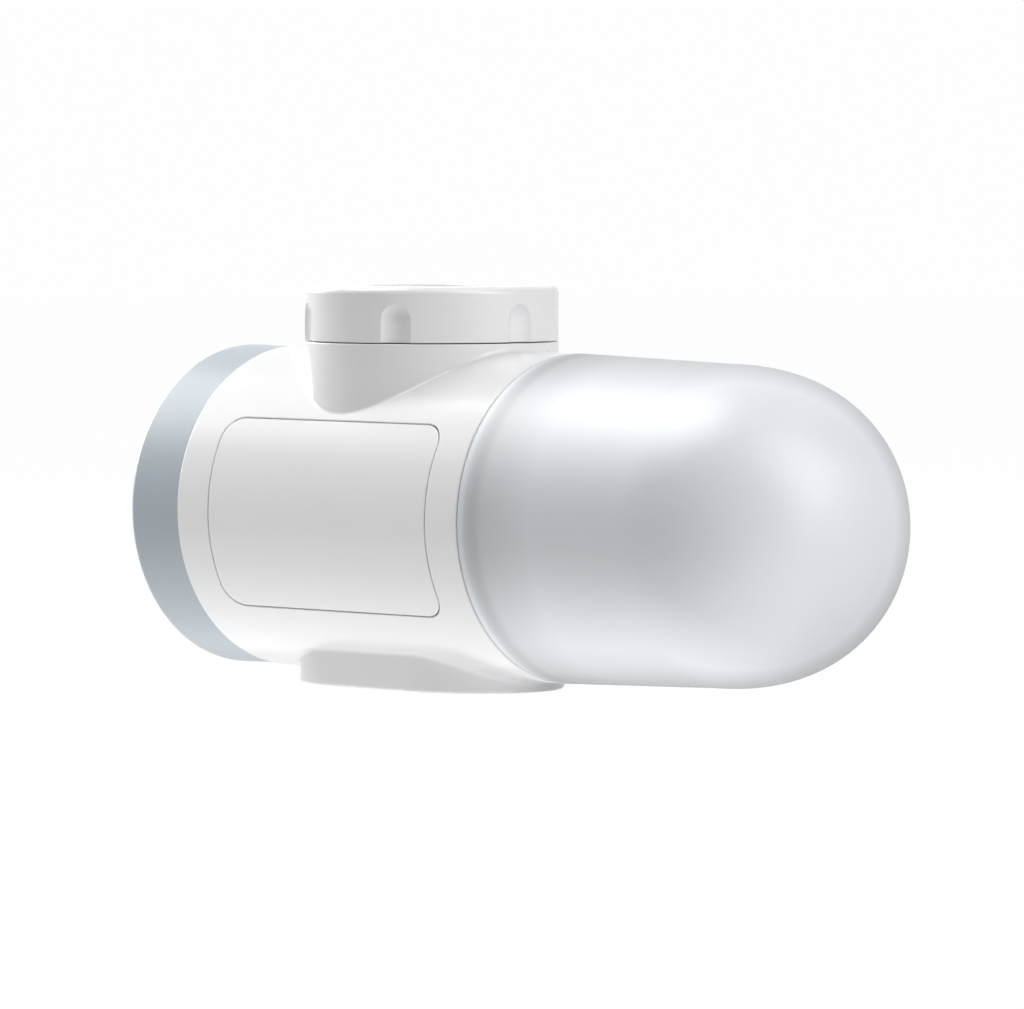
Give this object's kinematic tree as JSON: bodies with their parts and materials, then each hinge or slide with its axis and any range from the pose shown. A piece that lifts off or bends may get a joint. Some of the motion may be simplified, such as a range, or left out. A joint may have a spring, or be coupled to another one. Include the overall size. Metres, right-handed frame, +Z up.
{
  "type": "faucet mount water filter",
  "caption": "Horizontal tap-mounted water filter with a swivel collar nut, an end knob, a frosted screwed cup over its cartridge and a flat outlet boss.",
  "frame": {"origin": "middle of the flat outlet face, straight below the inlet axis", "axes": "+Z up along the inlet axis, +X along the barrel from the knob towards the cup, -Y towards the front panel"},
  "size_m": [0.1536, 0.058, 0.0715],
  "materials": {
    "white_abs": "moulded, satin gloss",
    "blue_grey_abs": "moulded, matte",
    "frosted_cup": "frosted, satin",
    "acetal": "moulded, waxy",
    "rubber": "moulded, matte",
    "stainless": "brushed",
    "carbon": "pressed granules",
    "fleece": "felted",
    "cartridge_plastic": "moulded, satin"
  },
  "bodies": {
    "housing": {"main_housing": "white_abs", "front_panel": "white_abs", "inlet_stem": "acetal", "stem_seal": "rubber", "inlet_strainer": "stainless", "inlet_gasket": "rubber", "upper_port_seal": "rubber", "lower_port_seal": "rubber", "valve_cover": "acetal", "cover_screw_1": "stainless", "cover_screw_2": "stainless", "cover_screw_3": "stainless", "cover_screw_4": "stainless", "spray_plate": "blue_grey_abs", "spray_seal": "rubber", "stream_nozzle": "blue_grey_abs", "flow_straightener": "acetal", "stream_seal": "rubber"},
    "nut": {"collar_nut": "white_abs"},
    "selector": {"selector_knob": "blue_grey_abs", "valve_spool": "acetal", "spool_seal_1": "rubber", "spool_seal_2": "rubber", "knob_screw": "stainless", "knob_screw_cap": "blue_grey_abs"},
    "cup_ring": {"cup_seal": "rubber"},
    "cup": {"filter_cup": "frosted_cup"},
    "cartridge": {"cartridge_head": "cartridge_plastic", "cartridge_seal": "rubber", "cartridge_foot": "cartridge_plastic", "core_tube": "cartridge_plastic", "carbon_block": "carbon", "fleece_wrap": "fleece"}
  },
  "joints": [
    {"name": "nut_spin", "type": "hinge", "parent": "housing", "child": "nut", "pos_m": [0, 0, 0.0666], "axis": [0, 0, 1], "continuous": true},
    {"name": "selector_turn", "type": "hinge", "parent": "housing", "child": "selector", "pos_m": [-0.04, 0, 0.031], "axis": [1, 0, 0], "range_deg": [0, 90]},
    {"name": "cup_pull", "type": "slide", "parent": "housing", "child": "cup_ring", "axis": [1, 0, 0], "range_m": [0, 0.11]},
    {"name": "cup_turn", "type": "hinge", "parent": "cup_ring", "child": "cup", "pos_m": [0.05, 0, 0.031], "axis": [1, 0, 0], "range_deg": [0, 540]},
    {"name": "cartridge_pull", "type": "slide", "parent": "housing", "child": "cartridge", "axis": [1, 0, 0], "range_m": [0, 0.044]}
  ],
  "couplings": [
    {"joint": "cartridge_pull", "follows": "cup_pull", "ratio": 0.4}
  ]
}
